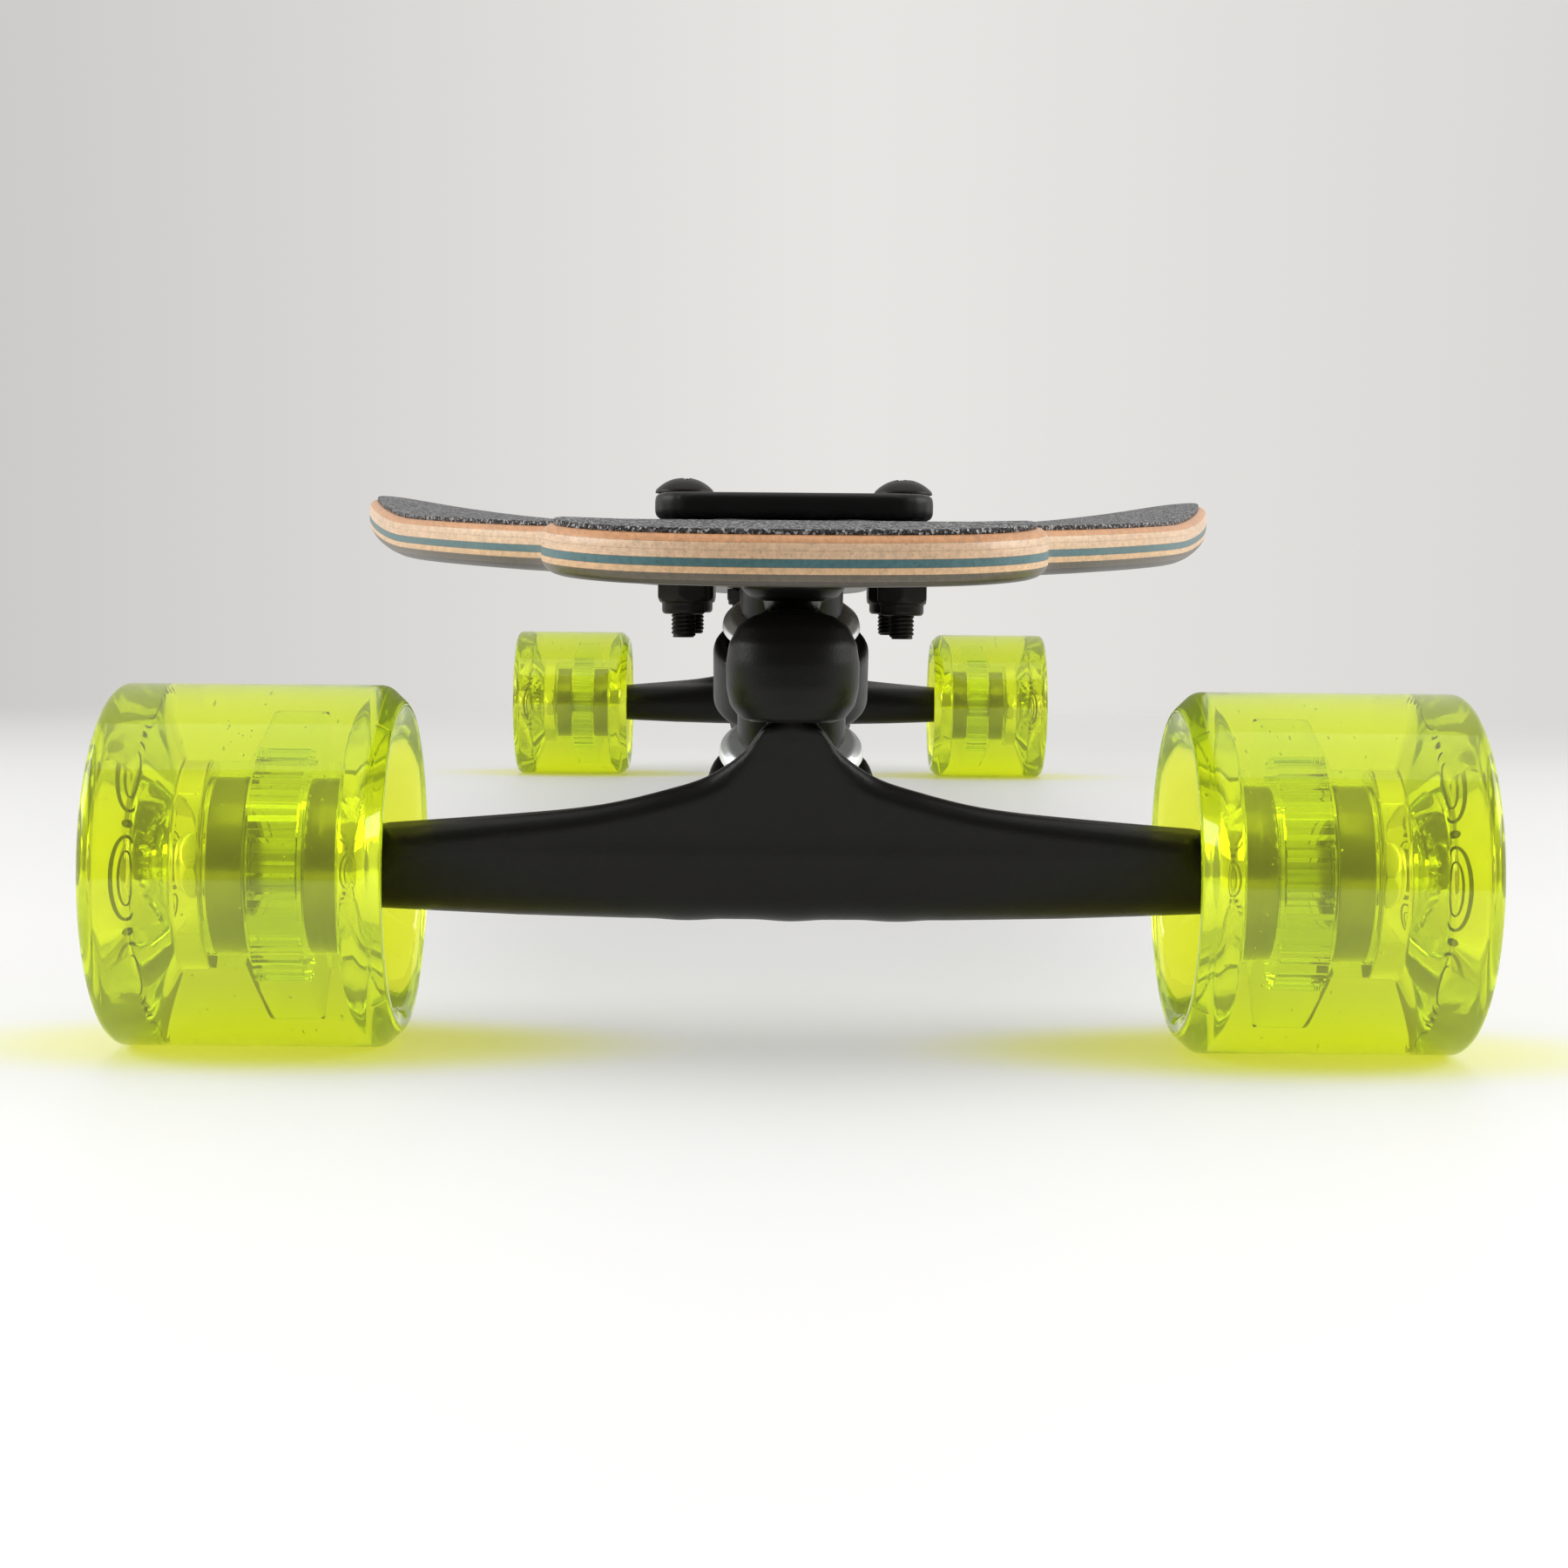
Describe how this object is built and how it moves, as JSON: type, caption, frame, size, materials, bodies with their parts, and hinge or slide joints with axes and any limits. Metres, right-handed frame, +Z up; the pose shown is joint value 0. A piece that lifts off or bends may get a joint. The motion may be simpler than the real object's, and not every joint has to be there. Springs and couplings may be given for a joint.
{
  "type": "skateboard",
  "caption": "Drop-through longboard: a slim wooden deck with grip tape on two-stage steering trucks and soft translucent wheels.",
  "frame": {"origin": "on the ground under the middle of the board, between the four wheels", "axes": "+Y along the board towards its rear end, +X across it, +Z up; the front truck is at -Y, and left is -X on both trucks"},
  "size_m": [0.2548, 0.889, 0.1156],
  "materials": {
    "maple": "clear lacquer over seven plies, the faces natural, one core ply dyed blue",
    "grit": "black silicon carbide grit on a backing",
    "black_casting": "satin black powder coat on cast aluminium",
    "black_steel": "black oxide",
    "zinc": "bright zinc plating",
    "black_rubber": "satin black",
    "cup_plastic": "black nylon",
    "urethane": "clear yellow-green, see-through, gloss",
    "core_plastic": "clear yellow-green, see-through"
  },
  "bodies": {
    "board": {"deck": "maple", "grip_tape": "grit", "front_baseplate": "black_casting", "front_upper_pivot_cup": "cup_plastic", "front_upper_kingpin": "black_steel", "front_upper_top_washer": "zinc", "front_upper_top_bushing": "black_rubber", "front_upper_low_bushing": "black_rubber", "front_upper_low_washer": "zinc", "front_bolt_1": "black_steel", "front_bolt_2": "black_steel", "front_bolt_3": "black_steel", "front_bolt_4": "black_steel", "rear_baseplate": "black_casting", "rear_upper_pivot_cup": "cup_plastic", "rear_upper_kingpin": "black_steel", "rear_upper_top_washer": "zinc", "rear_upper_top_bushing": "black_rubber", "rear_upper_low_bushing": "black_rubber", "rear_upper_low_washer": "zinc", "rear_bolt_1": "black_steel", "rear_bolt_2": "black_steel", "rear_bolt_3": "black_steel", "rear_bolt_4": "black_steel"},
    "front_link": {"front_middle_link": "black_casting", "front_lower_pivot_cup": "cup_plastic", "front_lower_kingpin": "black_steel", "front_lower_top_washer": "zinc", "front_lower_top_bushing": "black_rubber", "front_lower_low_bushing": "black_rubber", "front_lower_low_washer": "zinc"},
    "front_hanger": {"front_hanger": "black_casting", "front_axle": "zinc"},
    "front_left_wheel": {"front_left_tyre": "urethane", "front_left_core": "core_plastic", "front_left_inner_bearing": "zinc", "front_left_outer_bearing": "zinc"},
    "front_right_wheel": {"front_right_tyre": "urethane", "front_right_core": "core_plastic", "front_right_inner_bearing": "zinc", "front_right_outer_bearing": "zinc"},
    "rear_link": {"rear_middle_link": "black_casting", "rear_lower_pivot_cup": "cup_plastic", "rear_lower_kingpin": "black_steel", "rear_lower_top_washer": "zinc", "rear_lower_top_bushing": "black_rubber", "rear_lower_low_bushing": "black_rubber", "rear_lower_low_washer": "zinc"},
    "rear_hanger": {"rear_hanger": "black_casting", "rear_axle": "zinc"},
    "rear_left_wheel": {"rear_left_tyre": "urethane", "rear_left_core": "core_plastic", "rear_left_inner_bearing": "zinc", "rear_left_outer_bearing": "zinc"},
    "rear_right_wheel": {"rear_right_tyre": "urethane", "rear_right_core": "core_plastic", "rear_right_inner_bearing": "zinc", "rear_right_outer_bearing": "zinc"}
  },
  "joints": [
    {"name": "front_upper_steer", "type": "hinge", "parent": "board", "child": "front_link", "pos_m": [0, -0.334, 0.07052], "axis": [0, 0.8964, -0.4432], "range_deg": [-10, 10], "stiffness_Nm_per_rad": 55, "deforming": ["front_upper_top_bushing", "front_upper_low_bushing"]},
    {"name": "front_lower_steer", "type": "hinge", "parent": "front_link", "child": "front_hanger", "pos_m": [0, -0.36, 0.04622], "axis": [0, 0.7785, -0.6277], "range_deg": [-12, 12], "stiffness_Nm_per_rad": 45, "deforming": ["front_lower_top_bushing", "front_lower_low_bushing"]},
    {"name": "front_left_spin", "type": "hinge", "parent": "front_hanger", "child": "front_left_wheel", "pos_m": [-0.1004, -0.3775, 0.0345], "axis": [1, 0, 0], "continuous": true},
    {"name": "front_right_spin", "type": "hinge", "parent": "front_hanger", "child": "front_right_wheel", "pos_m": [0.1004, -0.3775, 0.0345], "axis": [1, 0, 0], "continuous": true},
    {"name": "rear_upper_steer", "type": "hinge", "parent": "board", "child": "rear_link", "pos_m": [0, 0.334, 0.07052], "axis": [0, -0.8964, -0.4432], "range_deg": [-10, 10], "stiffness_Nm_per_rad": 55, "deforming": ["rear_upper_top_bushing", "rear_upper_low_bushing"]},
    {"name": "rear_lower_steer", "type": "hinge", "parent": "rear_link", "child": "rear_hanger", "pos_m": [0, 0.36, 0.04622], "axis": [0, -0.7785, -0.6277], "range_deg": [-12, 12], "stiffness_Nm_per_rad": 45, "deforming": ["rear_lower_top_bushing", "rear_lower_low_bushing"]},
    {"name": "rear_left_spin", "type": "hinge", "parent": "rear_hanger", "child": "rear_left_wheel", "pos_m": [-0.1004, 0.3775, 0.0345], "axis": [1, 0, 0], "continuous": true},
    {"name": "rear_right_spin", "type": "hinge", "parent": "rear_hanger", "child": "rear_right_wheel", "pos_m": [0.1004, 0.3775, 0.0345], "axis": [1, 0, 0], "continuous": true}
  ]
}
